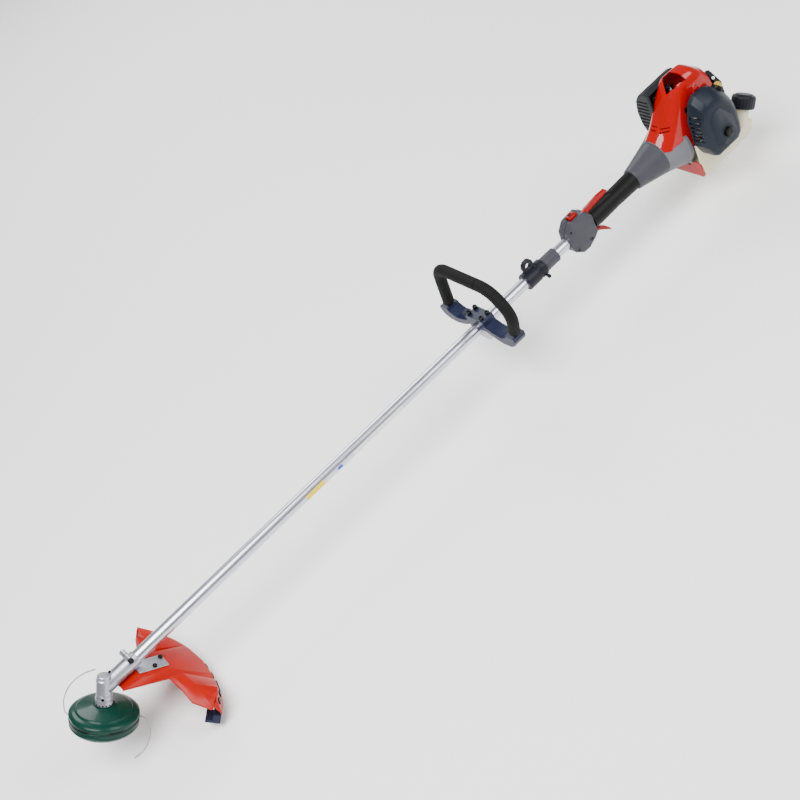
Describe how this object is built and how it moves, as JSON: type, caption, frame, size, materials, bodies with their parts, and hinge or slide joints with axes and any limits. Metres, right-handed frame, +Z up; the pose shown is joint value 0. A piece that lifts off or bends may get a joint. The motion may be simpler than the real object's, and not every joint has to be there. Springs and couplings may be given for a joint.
{
  "type": "brush cutter",
  "caption": "Petrol brush cutter with a straight shaft, a bump-feed line head under a guard, a loop handle, a throttle grip and a small rear-mounted engine.",
  "frame": {"origin": "middle of the tool's bounding box, on the plane its lowest point rests on, measured without the two cutting lines", "axes": "+X along the shaft from the cutting head towards the engine, +Y towards the muffler side, +Z up through the cylinder"},
  "size_m": [1.8622, 0.2996, 0.2936],
  "materials": {
    "cast_alloy": "cast and bead-blasted",
    "tube_alloy": "satin anodised",
    "steel": "turned",
    "black_steel": "blackened",
    "guard_red": "satin moulded",
    "shroud_red": "high gloss",
    "control_red": "semi gloss",
    "head_green": "semi gloss",
    "black_plastic": "fine grain",
    "charcoal": "satin moulded",
    "grip_foam": "closed-cell foam",
    "slate": "satin moulded",
    "bracket_blue": "satin moulded",
    "housing_grey": "fine grain",
    "light_grey": "satin moulded",
    "tank_cream": "translucent",
    "filter_foam": "open-cell foam",
    "bulb": "clear and elastic",
    "nylon": "extruded line",
    "carb_alloy": "die-cast"
  },
  "bodies": {
    "tool": {"gearcase": "cast_alloy", "spindle_bearing": "steel", "clamp_bolt": "black_steel", "shaft_tube": "tube_alloy", "shaft_bushing": "black_plastic", "guard": "guard_red", "guard_bracket": "cast_alloy", "guard_bolt_front": "black_steel", "guard_bolt_rear": "black_steel", "line_knife": "bracket_blue", "shaft_sleeve": "housing_grey", "throttle_housing_near": "housing_grey", "throttle_housing_far": "housing_grey", "rear_grip": "black_plastic", "clutch_housing": "housing_grey", "fan_housing": "light_grey", "crankcase": "cast_alloy", "cylinder": "cast_alloy", "spark_plug_boot": "black_plastic", "muffler": "steel", "engine_shroud": "shroud_red", "muffler_guard": "housing_grey", "carburettor": "carb_alloy", "filter_element": "filter_foam", "primer_base": "black_plastic", "starter_housing": "charcoal", "fuel_tank": "tank_cream", "tank_guard": "shroud_red"},
    "head": {"output_spindle": "steel", "head_housing": "head_green", "head_cup": "head_green", "cutting_line_far": "nylon", "cutting_line_near": "nylon"},
    "bump": {"bump_spool": "black_plastic"},
    "drive": {"drive_shaft": "steel", "bevel_pinion": "steel", "clutch_drum": "steel"},
    "crank": {"crankshaft": "steel", "flywheel": "cast_alloy", "clutch_shoes": "black_steel"},
    "loop": {"handle_loop": "black_steel", "foam_grip_near": "grip_foam", "foam_grip_far": "grip_foam", "handle_bracket": "bracket_blue", "handle_clamp": "cast_alloy", "handle_screw_1": "black_steel", "handle_screw_2": "black_steel", "handle_screw_3": "black_steel", "handle_screw_4": "black_steel"},
    "harness": {"harness_clamp": "charcoal", "harness_screw": "black_steel"},
    "trigger": {"throttle_trigger": "control_red"},
    "lockout": {"lockout_lever": "control_red"},
    "stop": {"stop_switch": "control_red"},
    "choke": {"choke_lever": "control_red"},
    "primer": {"primer_bulb": "bulb"},
    "cover": {"filter_cover": "slate"},
    "knob": {"cover_knob": "black_plastic"},
    "cap": {"fuel_cap": "charcoal"},
    "starter_grip": {"pull_handle": "black_plastic"}
  },
  "joints": [
    {"name": "head_spin", "type": "hinge", "parent": "tool", "child": "head", "pos_m": [-0.83884, -0.00875, 0.15546], "axis": [0.5736, 0, 0.8191], "continuous": true},
    {"name": "bump_press", "type": "slide", "parent": "head", "child": "bump", "axis": [0.5736, 0, 0.8191], "range_m": [0, 0.004], "stiffness_N_per_m": 300},
    {"name": "drive_spin", "type": "hinge", "parent": "tool", "child": "drive", "pos_m": [-0.83884, -0.00875, 0.15546], "axis": [1, 0, 0], "continuous": true},
    {"name": "crank_spin", "type": "hinge", "parent": "tool", "child": "crank", "pos_m": [0.76116, -0.00875, 0.15546], "axis": [1, 0, 0], "continuous": true},
    {"name": "handle_slide", "type": "slide", "parent": "tool", "child": "loop", "axis": [1, 0, 0], "range_m": [-0.15, 0.04]},
    {"name": "harness_slide", "type": "slide", "parent": "tool", "child": "harness", "axis": [1, 0, 0], "range_m": [-0.05, 0]},
    {"name": "trigger_squeeze", "type": "hinge", "parent": "tool", "child": "trigger", "pos_m": [0.46716, -0.00875, 0.13647], "axis": [0, -1, 0], "range_deg": [0, 15], "stiffness_Nm_per_rad": 0.3, "springref_deg": -11.46},
    {"name": "lockout_press", "type": "hinge", "parent": "tool", "child": "lockout", "pos_m": [0.47316, -0.00875, 0.17997], "axis": [0, 1, 0], "range_deg": [0, 6], "stiffness_Nm_per_rad": 0.3, "springref_deg": -11.46},
    {"name": "stop_rock", "type": "hinge", "parent": "tool", "child": "stop", "pos_m": [0.44216, -0.00875, 0.19346], "axis": [0, 1, 0], "range_deg": [0, 5]},
    {"name": "choke_turn", "type": "hinge", "parent": "tool", "child": "choke", "pos_m": [0.78716, -0.06725, 0.22947], "axis": [0, 1, 0], "range_deg": [0, 25]},
    {"name": "primer_push", "type": "slide", "parent": "tool", "child": "primer", "axis": [-0.8, 0, -0.6], "range_m": [0, 0.003], "stiffness_N_per_m": 200, "springref_m": -0.001},
    {"name": "cover_off", "type": "slide", "parent": "tool", "child": "cover", "axis": [0, -1, 0], "range_m": [0, 0.05]},
    {"name": "knob_turn", "type": "hinge", "parent": "cover", "child": "knob", "pos_m": [0.79716, -0.11275, 0.15946], "axis": [0, -1, 0], "range_deg": [0, 90]},
    {"name": "cap_turn", "type": "hinge", "parent": "tool", "child": "cap", "pos_m": [0.90316, -0.05475, 0.13747], "axis": [0.5736, 0, 0.8191], "range_deg": [0, 330]},
    {"name": "starter_pull", "type": "slide", "parent": "tool", "child": "starter_grip", "axis": [0, 0, 1], "range_m": [0, 0.8], "stiffness_N_per_m": 15, "springref_m": -0.4}
  ],
  "couplings": [
    {"joint": "drive_spin", "follows": "head_spin", "ratio": 1.3571}
  ]
}
